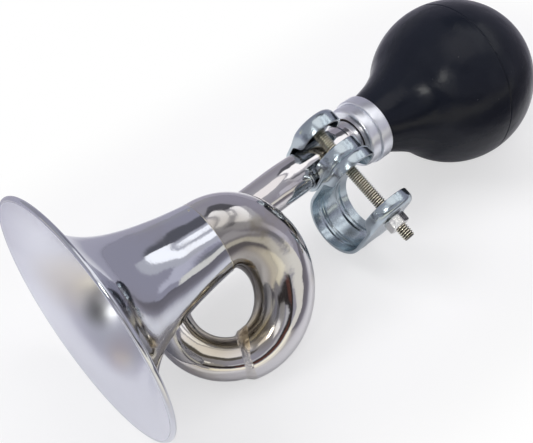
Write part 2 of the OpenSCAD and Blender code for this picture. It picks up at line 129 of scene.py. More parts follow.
def coil_point(t):
    """The loop's middle line, from the bell at 0 to the tube at 1."""
    a = COIL_TURN * t
    return np.array([LOOP_X + COIL_R * math.sin(a), BELL_Y - COIL_R * (1 - math.cos(a)), coil_rise(t)])


def coil_dir(t):
    return unit(coil_point(t + 0.001) - coil_point(t - 0.001))


def coil_r(t):
    return THROAT_R + (COIL_OUT - THROAT_R) * t


def flare_r(x):
    """The bell's outer radius at a distance from its mouth."""
    flare = (MOUTH_R - HEM_R) * (FLARE_LEAD / (x + FLARE_LEAD)) ** FLARE_POWER
    return flare + HEM_R * x / BELL_LEN * THROAT_R / MOUTH_R


# Mesh helpers
def face_outward(mesh, weld=None):
    """Turns a mesh's faces outward, after joining points that are closer than weld, in metres."""
    bm = bmesh.new()
    bm.from_mesh(mesh)
    if weld:
        bmesh.ops.remove_doubles(bm, verts=bm.verts, dist=weld)
        bmesh.ops.dissolve_degenerate(bm, dist=weld / 2, edges=bm.edges)
    bmesh.ops.recalc_face_normals(bm, faces=bm.faces)
    bm.to_mesh(mesh)
    bm.free()


def plain_mesh(name, verts, faces):
    """A smooth closed mesh from points in the horn's own millimetres."""
    mesh = bpy.data.meshes.new(name)
    mesh.from_pydata([tuple(v) for v in to_row(verts)], [], [tuple(int(i) for i in f) for f in faces])
    mesh.update()
    face_outward(mesh)
    mesh.polygons.foreach_set("use_smooth", [True] * len(mesh.polygons))
    o = bpy.data.objects.new(name, mesh)
    bpy.context.scene.collection.objects.link(o)
    return o


def put_material(o, material):
    o.data.materials.clear()
    o.data.materials.append(material)


def finish_piece(o, body, node, material, crease=None):
    """The body a piece rides on, the CAD node it stands for, its finish, and sharp edges past an angle."""
    o.data.polygons.foreach_set("use_smooth", [True] * len(o.data.polygons))
    if crease:
        o.data.set_sharp_from_angle(angle=math.radians(crease))
    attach(o, body)
    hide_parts(node)
    put_material(o, material)


def grid_faces(rows, cols, close_rows=False, close_cols=True, flip=False):
    """Quads over a grid of rows x cols points."""
    faces = []
    for i in range(rows if close_rows else rows - 1):
        for j in range(cols if close_cols else cols - 1):
            a, b = i * cols + j, i * cols + (j + 1) % cols
            c, d = ((i + 1) % rows) * cols + (j + 1) % cols, ((i + 1) % rows) * cols + j
            faces.append((a, d, c, b) if flip else (a, b, c, d))
    return faces


def shifted(faces, base):
    return [tuple(base + i for i in f) for f in faces]


def circle(n):
    """Angles of n points round a circle."""
    return [2 * math.pi * k / n for k in range(n)]


def turned(profile, origin, axis, side, n):
    """Points of a closed profile of (distance along, radius) turned about an axis."""
    axis, side = unit(axis), unit(side)
    up = np.cross(axis, side)
    pts = []
    for along, r in profile:
        for a in circle(n):
            pts.append(np.asarray(origin) + along * axis + r * (math.cos(a) * side + math.sin(a) * up))
    return pts


def round_corner(p, q, s, r):
    """Points that round the corner at q between p and s."""
    p, q, s = np.array(p, float), np.array(q, float), np.array(s, float)
    u, v = unit(p - q), unit(s - q)
    r = min(r, 0.48 * np.linalg.norm(p - q), 0.48 * np.linalg.norm(s - q))
    a, b = q + u * r, q + v * r
    return [tuple((1 - t) ** 2 * a + 2 * t * (1 - t) * q + t * t * b) for t in np.linspace(0, 1, 5)]


def rounded(profile, radii):
    """A closed profile with each corner rounded by its own radius."""
    out = []
    for i, r in enumerate(radii):
        out += round_corner(profile[i - 1], profile[i], profile[(i + 1) % len(profile)], r)
    return out


def swept(centres, dirs, outs, sections):
    """Points of sections of (outward, up) offsets carried along a path, one section for each point."""
    pts = []
    for c, d, o, section in zip(centres, dirs, outs, sections):
        d = unit(d)
        o = unit(o - np.dot(o, d) * d)
        u = np.cross(d, o)
        pts += [c + x * o + y * u for x, y in section]
    return pts


# Node helpers
def feed(tree, socket, value):
    """Links a socket to another one, or sets its value."""
    if isinstance(value, bpy.types.NodeSocket):
        tree.links.new(value, socket)
    else:
        socket.default_value = value


def add(tree, kind, **settings):
    """A node with settings; a key starting with in_ feeds an input by its name or number."""
    n = tree.nodes.new(kind)
    for key, value in settings.items():
        if not key.startswith("in_"):
            setattr(n, key, value)
    for key, value in settings.items():
        if key.startswith("in_"):
            k = key[3:]
            feed(tree, n.inputs[int(k) if k.isdigit() else k.replace("_", " ")], value)
    return n


def math_node(tree, operation, *values):
    n = add(tree, "ShaderNodeMath", operation=operation)
    for socket, value in zip(n.inputs, values):
        feed(tree, socket, value)
    return n.outputs[0]


def vector_node(tree, operation, *values):
    n = add(tree, "ShaderNodeVectorMath", operation=operation)
    for socket, value in zip(n.inputs, values):
        feed(tree, socket, value)
    return n.outputs["Value" if operation in ("LENGTH", "DISTANCE") else "Vector"]


def ease(tree, value, low, high, at_low=0.0, at_high=1.0, kind="SMOOTHSTEP"):
    """A value from low to high made to run from at_low to at_high, and held there past the ends."""
    n = add(tree, "ShaderNodeMapRange", interpolation_type=kind, in_0=value, in_1=low, in_2=high,
            in_3=at_low, in_4=at_high)
    return n.outputs[0]


def mix_color(tree, share, a, b):
    n = add(tree, "ShaderNodeMix", data_type="RGBA", in_0=share, in_6=a, in_7=b)
    return n.outputs[2]


def tinted(tree, colour, mask, strength, tint):
    """A colour with a tint over it, where a mask shows it."""
    return mix_color(tree, math_node(tree, "MULTIPLY", mask, strength), colour, (*tint, 1))


def ramp(tree, share, stops):
    n = add(tree, "ShaderNodeValToRGB", in_Fac=share)
    els = n.color_ramp.elements
    while len(els) < len(stops):
        els.new(0.5)
    for e, (position, colour) in zip(els, stops):
        e.position = position
        e.color = (*colour, 1)
    return n.outputs[0]


def node_group(name, inputs, outputs):
    """A shader node group; returns it, what goes into it and what comes out of it."""
    g = bpy.data.node_groups.new(name, "ShaderNodeTree")
    for label, kind, value in inputs:
        s = g.interface.new_socket(name=label, in_out="INPUT", socket_type="NodeSocket" + kind)
        if value is not None:
            s.default_value = value
    for label, kind in outputs:
        g.interface.new_socket(name=label, in_out="OUTPUT", socket_type="NodeSocket" + kind)
    return g, g.nodes.new("NodeGroupInput").outputs, g.nodes.new("NodeGroupOutput").inputs


def use(tree, group, **inputs):
    """What a shared effect puts out, with its own values in this material."""
    n = tree.nodes.new("ShaderNodeGroup")
    n.node_tree = group
    for key, value in inputs.items():
        feed(tree, n.inputs[key], value)
    return n.outputs[0]


def new_material(name):
    """A material with its node tree, its shader and the coordinates its patterns use."""
    m = bpy.data.materials.new(name)
    m.use_nodes = True
    t = m.node_tree
    t.nodes.clear()
    out = t.nodes.new("ShaderNodeOutputMaterial")
    shader = t.nodes.new("ShaderNodeBsdfPrincipled")
    t.links.new(shader.outputs[0], out.inputs[0])
    coords = t.nodes.new("ShaderNodeTexCoord").outputs["Object"]
    return m, t, shader, coords


# Shared effects, each built once
def build_specks():
    """A mask of small scattered specks."""
    g, i, o = node_group("Specks", [("Vector", "Vector", None), ("Scale", "Float", 400.0),
                                    ("Amount", "Float", 0.1)], [("Mask", "Float")])
    cells = add(g, "ShaderNodeTexVoronoi", in_Vector=i["Vector"], in_Scale=i["Scale"])
    clouds = add(g, "ShaderNodeTexNoise", in_Vector=i["Vector"], in_Scale=55.0, in_Detail=2.0)
    size = math_node(g, "MULTIPLY", clouds.outputs["Fac"], i["Amount"])
    feed(g, o["Mask"], math_node(g, "LESS_THAN", cells.outputs["Distance"], size))
    return g


def build_haze():
    """Soft cloudy patches from 0 to 1, at one scale, with a threshold."""
    g, i, o = node_group("Haze", [("Vector", "Vector", None), ("Scale", "Float", 40.0),
                                  ("Cover", "Float", 0.5), ("Soft", "Float", 0.15)], [("Mask", "Float")])
    clouds = add(g, "ShaderNodeTexNoise", in_Vector=i["Vector"], in_Scale=i["Scale"], in_Detail=5.0,
                 in_Roughness=0.6)
    low = math_node(g, "SUBTRACT", i["Cover"], i["Soft"])
    high = math_node(g, "ADD", i["Cover"], i["Soft"])
    feed(g, o["Mask"], ease(g, clouds.outputs["Fac"], low, high))
    return g


def build_spot():
    """A soft round spot: 1 at its centre, falling to 0 at its radius, both in metres."""
    g, i, o = node_group("Spot", [("Vector", "Vector", None), ("Centre", "Vector", None),
                                  ("Radius", "Float", 0.01), ("Soft", "Float", 0.5)], [("Mask", "Float")])
    away = math_node(g, "DIVIDE", vector_node(g, "DISTANCE", i["Vector"], i["Centre"]), i["Radius"])
    inner = math_node(g, "SUBTRACT", 1.0, i["Soft"])
    feed(g, o["Mask"], ease(g, away, inner, 1.0, 1.0, 0.0))
    return g


def build_ripple():
    """The slight unevenness of thin plated sheet, as a normal."""
    g, i, o = node_group("Ripple", [("Vector", "Vector", None), ("Scale", "Float", 60.0),
                                    ("Strength", "Float", 0.1), ("Fine", "Float", 0.02)],
                         [("Normal", "Vector")])
    wide = add(g, "ShaderNodeTexNoise", in_Vector=i["Vector"], in_Scale=i["Scale"], in_Detail=1.0)
    fine = add(g, "ShaderNodeTexNoise", in_Vector=i["Vector"], in_Scale=900.0, in_Detail=3.0)
    waves = add(g, "ShaderNodeBump", in_Height=wide.outputs["Fac"], in_Strength=i["Strength"],
                in_Distance=0.01)
    grain = add(g, "ShaderNodeBump", in_Height=fine.outputs["Fac"], in_Strength=i["Fine"],
                in_Distance=0.001, in_Normal=waves.outputs["Normal"])
    feed(g, o["Normal"], grain.outputs["Normal"])
    return g


def build_patch():
    """A soft-edged patch of the studio's walls: 1 inside, found by its azimuth and height in degrees."""
    g, i, o = node_group("Studio patch", [
        ("Azimuth", "Float", 0.0), ("Height", "Float", 0.0), ("At", "Float", 0.0), ("Up", "Float", 20.0),
        ("Half width", "Float", 10.0), ("Half height", "Float", 5.0), ("Soft", "Float", 2.0)],
        [("Mask", "Float")])
    across = math_node(g, "WRAP", math_node(g, "SUBTRACT", i["Azimuth"], i["At"]), 180.0, -180.0)
    above = math_node(g, "SUBTRACT", i["Height"], i["Up"])
    masks = []
    for away, half in ((across, "Half width"), (above, "Half height")):
        past_edge = math_node(g, "SUBTRACT", math_node(g, "ABSOLUTE", away), i[half])
        masks.append(ease(g, past_edge, 0.0, i["Soft"], 1.0, 0.0))
    feed(g, o["Mask"], math_node(g, "MULTIPLY", *masks))
    return g


SPECKS, HAZE, SPOT, RIPPLE, PATCH = build_specks(), build_haze(), build_spot(), build_ripple(), build_patch()

# Finishes
# Places on the table, in metres: the thick solder of the joint, a brownish patch on the side of the tube, and
# the middle of the loop, round which the inside of the turn gets painted shade
SOLDER_AT, TUBE_SIDE = (-0.0625, -0.0270, 0.0210), (-0.080, -0.019, 0.018)
LOOP_MIDDLE = row_point(LOOP_X, BELL_Y - COIL_R, 6.0)


def bare_metal(t, shader, colour, rough, normal):
    feed(t, shader.inputs["Base Color"], colour)
    shader.inputs["Metallic"].default_value = 1.0
    feed(t, shader.inputs["Roughness"], rough)
    feed(t, shader.inputs["Normal"], normal)


def painted_turn_shade(t, coords, haze):
    """A mask for the inside of the loop's turn, where painted shade darkens it."""
    away = vector_node(t, "MULTIPLY", vector_node(t, "SUBTRACT", coords, LOOP_MIDDLE), (1.0, 1.0, 0.35))
    near = use(t, SPOT, Vector=away, Centre=(0.0, 0.0, 0.0), Radius=0.0222, Soft=0.42)
    return math_node(t, "MULTIPLY", near, math_node(t, "MULTIPLY_ADD", haze, 0.4, 0.6))


def plated(name, base, rough, tint, tint_amount, specks, ripple, stains_and_painted_reflections, satin=0.0, turn_shade=0.0):
    """Thin bright plating over brass: a light metal with warm, duller patches, specks and slight
    ripples. Stains and painted reflections are given as centre and radius in metres, soft share, colour
    and strength. Satin is how much rougher the bell is inside, where its paler colour is painted light,
    and the last argument is how strongly painted shade darkens the inside of the loop's turn, which is also
    made rougher."""
    m, t, shader, coords = new_material(name)
    haze = use(t, HAZE, Vector=coords, Scale=45.0, Cover=0.62, Soft=0.12)
    speck = use(t, SPECKS, Vector=coords, Scale=420.0, Amount=specks)
    colour = tinted(t, (*base, 1), haze, tint_amount, tint)
    r = math_node(t, "MULTIPLY_ADD", haze, 0.08, rough)
    r = math_node(t, "MULTIPLY_ADD", speck, 0.2, r)
    if satin:
        # Painted light: the bell's inside is painted paler, as well as made rougher
        inside = add(t, "ShaderNodeAttribute", attribute_name="inside").outputs["Fac"]
        colour = tinted(t, colour, inside, 0.8, (0.84, 0.85, 0.91))
        r = math_node(t, "MULTIPLY_ADD", inside, satin, r)
    # Stains and painted reflections, each at a fixed place on the piece
    for centre, radius, soft, mark_colour, strength in stains_and_painted_reflections:
        spot = use(t, SPOT, Vector=coords, Centre=centre, Radius=radius, Soft=soft)
        colour = tinted(t, colour, spot, strength, mark_colour)
    # Painted shade: the inside of the loop's turn is darkened, and made a little rougher
    if turn_shade:
        turn_shade_mask = painted_turn_shade(t, coords, haze)
        colour = tinted(t, colour, turn_shade_mask, turn_shade, (0.20, 0.165, 0.095))
        r = math_node(t, "MULTIPLY_ADD", turn_shade_mask, 0.12, r)
    colour = tinted(t, colour, speck, 0.5, (0.16, 0.13, 0.10))
    bare_metal(t, shader, colour, r, use(t, RIPPLE, Vector=coords, Scale=60.0, Strength=ripple, Fine=0.015))
    return m


BROWNED = (SOLDER_AT, 0.0105, 0.8, (0.50, 0.40, 0.24), 0.85)
# The bell's inside has a warm patch, a dark painted reflection and a pinkish patch, each at a fixed place
BELL_MAT = plated("bell_plate", (0.67, 0.69, 0.74), 0.07, (0.62, 0.58, 0.52), 0.25, specks=0.04,
                  ripple=0.06, satin=0.26, stains_and_painted_reflections=(
                      ((-0.1064, 0.0252, 0.0386), 0.020, 0.9, (0.70, 0.62, 0.46), 0.40),
                      ((-0.1036, 0.0135, 0.0281), 0.0085, 0.95, (0.08, 0.08, 0.07), 0.70),
                      ((-0.1063, -0.0020, 0.0221), 0.0100, 0.9, (0.70, 0.56, 0.55), 0.35)))
COIL_MAT = plated("loop_plate", (0.70, 0.69, 0.70), 0.06, (0.58, 0.52, 0.38), 0.5, specks=0.08,
                  ripple=0.08, turn_shade=0.9, stains_and_painted_reflections=(BROWNED,))
STEM_MAT = plated("stem_plate", (0.70, 0.68, 0.68), 0.07, (0.58, 0.50, 0.42), 0.5, specks=0.10,
                  ripple=0.10, turn_shade=0.9,
                  stains_and_painted_reflections=(BROWNED, (TUBE_SIDE, 0.016, 0.8, (0.45, 0.40, 0.27), 0.6)))


def thread_root_shade(t, coords):
    """A mask of painted shade for the bottom of the bolt's thread, by the distance from the bolt's middle
    line.
    """
    away = vector_node(t, "SUBTRACT", coords, row_point(0, 0, BOLT_Z))
    across = vector_node(t, "CROSS_PRODUCT", away, tuple(row_dir((0, 1, 0))))
    return ease(t, vector_node(t, "LENGTH", across), 0.00210, 0.00244, 0.97, 0.0, kind="LINEAR")


def zinc(name, base, rough, warm, amount=0.3, ripple=0.03, fine=0.06, root_shade=None):
    """Zinc plating with cloudy grey and warm patches and fine pits; the last argument is a colour of painted
    shade for the bottom of the thread. Solder and brass have the same clouds."""
    m, t, shader, coords = new_material(name)
    haze = use(t, HAZE, Vector=coords, Scale=70.0, Cover=0.52, Soft=0.3)
    speck = use(t, SPECKS, Vector=coords, Scale=900.0, Amount=0.2)
    colour = tinted(t, (*base, 1), haze, amount, warm)
    colour = tinted(t, colour, speck, 0.25, (0.2, 0.2, 0.19))
    # Painted shade: the bottom of the thread is darkened
    if root_shade:
        colour = mix_color(t, thread_root_shade(t, coords), colour, (*root_shade, 1))
    normal = use(t, RIPPLE, Vector=coords, Scale=110.0, Strength=ripple, Fine=fine)
    bare_metal(t, shader, colour, math_node(t, "MULTIPLY_ADD", haze, 0.10, rough), normal)
    return m


BAND_MAT = zinc("band_zinc", (0.52, 0.60, 0.65), 0.15, (0.50, 0.54, 0.53), ripple=0.05)
COLLAR_MAT = zinc("collar_zinc", (0.92, 0.94, 0.98), 0.28, (0.76, 0.78, 0.82), 0.25, ripple=0.01, fine=0.03)
# The bolt's thread gets painted shade at its bottom
BOLT_MAT = zinc("bolt_zinc", (1.0, 0.97, 0.82), 0.16, (0.66, 0.58, 0.34), root_shade=(0.04, 0.035, 0.02))
NUT_MAT = zinc("nut_zinc", (0.80, 0.80, 0.78), 0.16, (0.62, 0.60, 0.50))
SEAM_MAT = zinc("seam_solder", (0.72, 0.71, 0.66), 0.18, (0.60, 0.54, 0.36), 0.5)
BRASS_MAT = zinc("brass", (0.80, 0.62, 0.30), 0.25, (0.55, 0.38, 0.16), 0.4)


def rubber():
    """Blue-black moulded rubber with a satin skin, faint dust and a few pale specks."""
    m, t, shader, coords = new_material("rubber")
    haze = use(t, HAZE, Vector=coords, Scale=30.0, Cover=0.5, Soft=0.25)
    speck = use(t, SPECKS, Vector=coords, Scale=260.0, Amount=0.05)
    colour = tinted(t, (0.006, 0.008, 0.014, 1), haze, 0.5, (0.012, 0.014, 0.022))
    feed(t, shader.inputs["Base Color"], tinted(t, colour, speck, 0.5, (0.30, 0.30, 0.34)))
    feed(t, shader.inputs["Roughness"], math_node(t, "MULTIPLY_ADD", haze, 0.06, 0.20))
    shader.inputs["Specular IOR Level"].default_value = 0.22
    normal = use(t, RIPPLE, Vector=coords, Scale=120.0, Strength=0.04, Fine=0.06)
    feed(t, shader.inputs["Normal"], normal)
    return m


def solder():
    """The joint's solder: bright where it is thin, rough and browned where it is thick."""
    m, t, shader, coords = new_material("solder")
    haze = use(t, HAZE, Vector=coords, Scale=450.0, Cover=0.5, Soft=0.10)
    thick = use(t, SPOT, Vector=coords, Centre=SOLDER_AT, Radius=0.0115, Soft=0.5)
    brown = mix_color(t, haze, (0.78, 0.64, 0.42, 1), (0.42, 0.32, 0.20, 1))
    colour = mix_color(t, thick, (0.68, 0.66, 0.64, 1), brown)
    normal = use(t, RIPPLE, Vector=coords, Scale=500.0, Strength=0.10, Fine=0.6)
    bare_metal(t, shader, colour, math_node(t, "MULTIPLY_ADD", thick, 0.26, 0.08), normal)
    return m


RUBBER_MAT, SOLDER_MAT = rubber(), solder()


# The pieces
def build_bell():
    """The flared mouth, spun from sheet, with its edge rolled back outside into a hem."""
    rings, crowding, sides, under_hem = 80, 2.2, 160, 4
    outer, inner = [], []
    for i in range(rings + 1):
        x = BELL_LEN * (i / rings) ** crowding
        slope = (flare_r(x + 0.01) - flare_r(x)) / 0.01
        n = math.sqrt(1 + slope * slope)
        outer.append((x, flare_r(x)))
        inner.append((x + SHEET * slope / n, flare_r(x) - SHEET / n))
    hem = [(-HEM_R * math.sin(a), MOUTH_R - HEM_R + HEM_R * math.cos(a)) for a in np.linspace(-1.9, 2.2, 26)]
    profile = outer[::-1][:-under_hem] + hem + inner[under_hem:]
    pts = np.array(turned(profile, (MOUTH_X, BELL_Y, BELL_Z), (1, 0, 0), (0, 1, 0), sides))
    # The seam is cut square to the loop, so the rows near it lean back at the top
    lean_from, lean_over, most = 0.45, 0.55, 1.05
    k = np.clip((pts[:, 0] - MOUTH_X - lean_from * BELL_LEN) / (lean_over * BELL_LEN), 0, None) ** 1.5
    pts[:, 0] -= np.minimum(k, most) * COIL_SLOPE * (pts[:, 2] - BELL_Z)
    o = plain_mesh("bell_vis", pts, grid_faces(len(profile), sides, close_rows=True, flip=True))
    inside = o.data.attributes.new("inside", "FLOAT", "POINT")
    first = (len(outer) - under_hem + len(hem)) * sides
    inside.data.foreach_set("value", [1.0 if i >= first else 0.0 for i in range(len(pts))])
    finish_piece(o, "horn", "bell", BELL_MAT, 50)


def shell_section(r, upper, n):
    """Half of the loop's wall, open by a narrow seam and slightly turned in at its edges."""
    gap = SHELL_GAP / r
    arc = np.linspace(gap, math.pi - gap, n)
    ring = []
    for a in arc:
        edge = min(a - gap, math.pi - gap - a) * r
        rr = r - LIP_DEEP * (1 - min(edge / SEAM_LIP, 1)) ** 2
        ring.append((rr * math.cos(a), rr * math.sin(a)))
    for a in arc[::-1]:
        ring.append(((r - SHEET) * math.cos(a), (r - SHEET) * math.sin(a)))
    return ring if upper else [(x, -y) for x, y in ring]


def build_coil_half(node, upper):
    """One stamped half shell of the loop's wide part."""
    rows, n = 150, 48
    ts = np.linspace(0, 1, rows)
    centres, dirs = [coil_point(t) for t in ts], [coil_dir(t) for t in ts]
    outs = [np.array([-d[1], d[0], 0]) for d in dirs]
    pts = swept(centres, dirs, outs, [shell_section(coil_r(t), upper, n) for t in ts])
    cols = 2 * n
    faces = grid_faces(rows, cols, flip=upper)
    for row, back in ((0, False), (rows - 1, True)):
        for k in range(n - 1):
            a, b = row * cols + k, row * cols + k + 1
            c, d = row * cols + cols - 2 - k, row * cols + cols - 1 - k
            f = (a, b, c, d)
            faces.append(f if back != (not upper) else f[::-1])
    o = plain_mesh(node + "_vis", pts, faces)
    finish_piece(o, "horn", node, COIL_MAT, 50)


def build_stem():
    """One bent tube: the straight stem, the shallow dip and the narrow half of the loop."""
    path = [np.array([STEM_END, 0, 0.0]), np.array([0.0, 0, 0])]
    dirs = [np.array([-1.0, 0, 0])] * 2
    for a in np.linspace(0, DIP, 16):
        path.append(np.array([stem_start - DIP_R * math.sin(a), 0, -DIP_R * (1 - math.cos(a))]))
        dirs.append(np.array([-math.cos(a), 0, -math.sin(a)]))
    for a in np.linspace(0, BEND_TURN, 90):
        path.append(bend_point(a))
        dirs.append(bend_dir(a))
    into_loop = 2.2
    path.append(joint_p + into_loop * joint_dir)
    dirs.append(joint_dir)
    outs, out = [], np.array([0.0, 0, 1.0])
    for d in dirs:
        out = unit(out - np.dot(out, d) * d)
        outs.append(out)
    rows, n = len(path), 72
    walls = [[(r * math.cos(a), r * math.sin(a)) for a in circle(n)] for r in (STEM_R, BORE_R)]
    pts = [p for wall in walls for p in swept(path, dirs, outs, [wall] * rows)]
    base, end = rows * n, (rows - 1) * n
    faces = grid_faces(rows, n)
    faces += shifted([f[::-1] for f in faces], base)
    for k in range(n):
        q = (k + 1) % n
        faces.append((k, base + k, base + q, q))
        faces.append((end + k, end + q, base + end + q, base + end + k))
    o = plain_mesh("stem_tube_vis", pts, faces)
    finish_piece(o, "horn", "stem_tube", STEM_MAT, 50)


def build_collar():
    """The two-step metal collar: a cup with a rolled shoulder and a wider ring with a rolled edge."""
    back, full, groove = CUP_LEN, CUP_LEN + RING_LEN, CUP_R - 0.35
    corners = [(full, RING_R - COLLAR_T, 0.15), (full, RING_R, 0.3), (back + 0.05, RING_R, 0.9),
               (back + 0.05, groove, 0.05), (back - 0.4, groove, 0.05), (back - 0.4, CUP_R, 0.25),
               (0, CUP_R, 1.7), (0, HOLE_R, 0.3), (COLLAR_T, HOLE_R, 0.2),
               (COLLAR_T, CUP_R - COLLAR_T, 0.5), (back + 0.3, CUP_R - COLLAR_T, 0.1),
               (back + 0.3, RING_R - COLLAR_T, 0.1)]
    profile = rounded([c[:2] for c in corners], [c[2] for c in corners])
    sides = 128
    pts = turned(profile, (COLLAR_X, 0, 0), (1, 0, 0), (0, 1, 0), sides)
    o = plain_mesh("bulb_collar_vis", pts, grid_faces(len(profile), sides, close_rows=True, flip=True))
    finish_piece(o, "bulb_assembly", "bulb_collar", COLLAR_MAT, 50)


ball_dir = np.array([math.cos(LIFT) * math.cos(DROOP), -math.cos(LIFT) * math.sin(DROOP), math.sin(LIFT)])


def ball_profile(r, reach, neck, groove=0.0):
    """The outline from the neck over the sphere to its far pole, as (distance along, radius). The two
    halves of the mould meet round the ball's widest part and leave a fine groove there."""
    join, lean = math.radians(43), math.radians(17)
    p0 = np.array([0, neck])
    p3 = np.array([reach - r * math.cos(join), r * math.sin(join)])
    h = np.linalg.norm(p3 - p0) / 3
    p1 = p0 + h * np.array([math.cos(lean), math.sin(lean)])
    p2 = p3 - h * np.array([math.sin(join), math.cos(join)])
    out = []
    for t in np.linspace(0, 1, 22)[:-1]:
        s = 1 - t
        out.append(tuple(s ** 3 * p0 + 3 * t * s ** 2 * p1 + 3 * t * t * s * p2 + t ** 3 * p3))
    middle, half_groove = math.pi / 2, 0.010
    near = np.linspace(join, middle - 0.016, 32)
    across = middle + np.array([-0.011, -0.008, -0.004, 0, 0.004, 0.008, 0.011])
    far = np.linspace(middle + 0.016, math.pi - 0.004, 38)
    for a in [*near, *across, *far]:
        deep = groove * max(0.0, 1 - (abs(a - middle) / half_groove) ** 2)
        out.append((reach - (r - deep) * math.cos(a), (r - deep) * math.sin(a)))
    return out


def build_bulb():
    """The hollow rubber ball with its neck, which stays straight in the collar and then leans."""
    n, stem_dir = 160, np.array([1.0, 0, 0])
    neck_x = COLLAR_X + CUP_LEN + RING_LEN + NECK_GAP
    step_x, front = COLLAR_X + CUP_LEN, COLLAR_X + COLLAR_T + 1
    bore = SOCKET_R + FIT
    cup, ring = CUP_R - COLLAR_T - FIT, RING_R - COLLAR_T - FIT
    in_collar = [(neck_x - 6, bore), (front, bore), (front, cup), (step_x + 0.5, cup), (step_x + 0.5, ring),
                 (neck_x - 1.6, ring), (neck_x - 1.3, NECK_R)]
    rows = [(x - neck_x, r, False) for x, r in in_collar]
    outer = ball_profile(BALL_R, BALL_REACH - NECK_GAP, NECK_R, PARTING_DEEP)
    inner = ball_profile(BALL_R - RUBBER_T, BALL_REACH - NECK_GAP, bore + 0.35)
    rows += [(x, r, True) for x, r in outer + inner[::-1]]
    lean_over = 8
    pts = []
    for along, r, leaning in rows:
        k = min(max(along / lean_over, 0), 1) if leaning else 0
        d = unit((1 - k) * stem_dir + k * ball_dir)
        centre = np.array([neck_x, 0, 0]) + along * (ball_dir if leaning else stem_dir)
        side = unit(np.array([0, 1.0, 0]) - d[1] * d)
        up = np.cross(d, side)
        pts += [centre + r * (math.cos(a) * side + math.sin(a) * up) for a in circle(n)]
    o = plain_mesh("bulb_vis", pts, grid_faces(len(rows), n, close_rows=True))
    finish_piece(o, "bulb_assembly", "bulb", RUBBER_MAT, 60)


# Where the points of a band's flat part lie, from its middle line; a rib runs between 4 and 6
FLAT_PART = (0.0, 1.5, 3.0, 3.8, 4.0, 4.2, 5.0, 5.8, 6.0, 6.2, 7.0)


def rib_height(d, deep):
    return deep * (0.5 - 0.5 * math.tanh((abs(d - 5.0) - 1.0) * 6))


def band_section(lip, bulge, rib):
    """Half of a band's section, as (distance from its middle line, height inward from its outer face).
    Lip is 1 where the edge is turned in and 0 where the band is flat; a bulge swells the turned edge."""
    half, t = BAND_HALF, BAND_T
    fold, high, lipped = 0.45 + lip * 2.0, t + lip * RIM, lip > 0.15
    bend = max(fold - t, 0.12)
    inner = half - t - bend
    section = [(min(d, half - fold), -rib_height(d, rib)) for d in FLAT_PART]
    for a in np.linspace(0, math.pi / 2, 9):
        section.append((half - fold + fold * math.sin(a), fold - fold * math.cos(a)))
    section += [(half, max(high - 0.4, fold + 0.02)), (half - 0.12, high),
                (half - t / 2, high + 0.12 if lip > 0.1 else high), (half - t + 0.12, high),
                (half - t, max(high - 0.4, t + bend + 0.02) if lipped else high)]
    for a in np.linspace(math.pi / 2, 0, 7):
        section.append((inner + bend * math.sin(a), (t + bend - bend * math.cos(a)) if lipped else high))
    section += [(min(d, inner), t - rib_height(d, rib)) for d in FLAT_PART[::-1]]
    out = []
    for d, h in section:
        x = min(max((d - (half - 4.4)) / 2.6, 0), 1)
        fade = min(max((high - h) / high, 0), 1) if lip > 0 else 1
        out.append((d, h - bulge * lip * x ** 2 * (3 - 2 * x) * fade))
    return out


def band_rows(middle_y, drop, r, up, lip_end):
    """A band's rows from one ear's tip down, round the bar and up to the other tip, each with its
    place, its lift towards the ear's rounded tip, its share of the width, the way in, its share of the
    lip and its share of the rib."""
    rows, flat = [], np.zeros(3)
    for side in (1, -1):
        ear, y, inward = [], middle_y + side * r, np.array([0, -side, 0.0])
        for a in np.linspace(0, math.pi / 2, 13):
            ear.append((np.array([0, y, up]), np.array([0, 0, math.cos(a)]), math.sin(a), inward, 1.0, 0.0))
        for z in np.linspace(up, -drop, 16)[1:]:
            k = min(max((z + lip_end + 3.5) / 5.0, 0), 1)
            ear.append((np.array([0, y, z]), flat, 1.0, inward, k * k * (3 - 2 * k), 0.0))
        rows += ear if side > 0 else ear[::-1]
        if side > 0:
            for a in np.linspace(0, math.pi, 49)[1:-1]:
                n = np.array([0, -math.cos(a), math.sin(a)])
                rib = min(min(a, math.pi - a) / 0.5, 1.0)
                rows.append((np.array([0, middle_y, -drop]) - r * n, flat, 1.0, n, 0.0, rib))
    return rows


def band_mesh(name, middle_y, drop, r, up, rest, lip_end, bulge, rib):
    """A folded band: one sheet whose two ears have lips that roll inward round the bolt's end."""
    rows = band_rows(middle_y, drop, r, up, lip_end)
    pts = []
    for centre, lift, wide, inward, lip, rib_share in rows:
        section = band_section(lip, bulge, rib * rib_share)
        outer_face = centre - BAND_T * inward
        for s in (1, -1):
            x_dir = np.array([s * wide, 0, 0]) + lift
            pts += [outer_face + d * x_dir + h * inward for d, h in section[::s]]
    cols = len(pts) // len(rows)
    pts = np.array(pts)
    x, z = pts[:, 0].copy(), pts[:, 2].copy()
    pts[:, 0] = x * math.cos(rest) + z * math.sin(rest)
    pts[:, 2] = -x * math.sin(rest) + z * math.cos(rest) + BOLT_Z
    o = plain_mesh(name, pts, grid_faces(len(rows), cols))
    face_outward(o.data, weld=2e-6)
    return o


def cut(o, tool_pts, faces):
    """Cuts a closed shape out of a piece and leaves it a plain mesh."""
    tool = plain_mesh("cutter", tool_pts, faces)
    mod = o.modifiers.new("cut", "BOOLEAN")
    mod.operation, mod.object, mod.solver = "DIFFERENCE", tool, "EXACT"
    new = bpy.data.meshes.new_from_object(o.evaluated_get(bpy.context.evaluated_depsgraph_get()))
    o.modifiers.remove(mod)
    o.data = new
    bpy.data.objects.remove(tool)


def cut_bolt_hole(o, y0, y1):
    sides, r = 40, BOLT_R + FIT
    drill = [(0, 0.001), (0, r), (y1 - y0, r), (y1 - y0, 0.001)]
    pts = turned(drill, (0, y0, BOLT_Z), (0, 1, 0), (1, 0, 0), sides)
    cut(o, pts, grid_faces(len(drill), sides, close_rows=True))


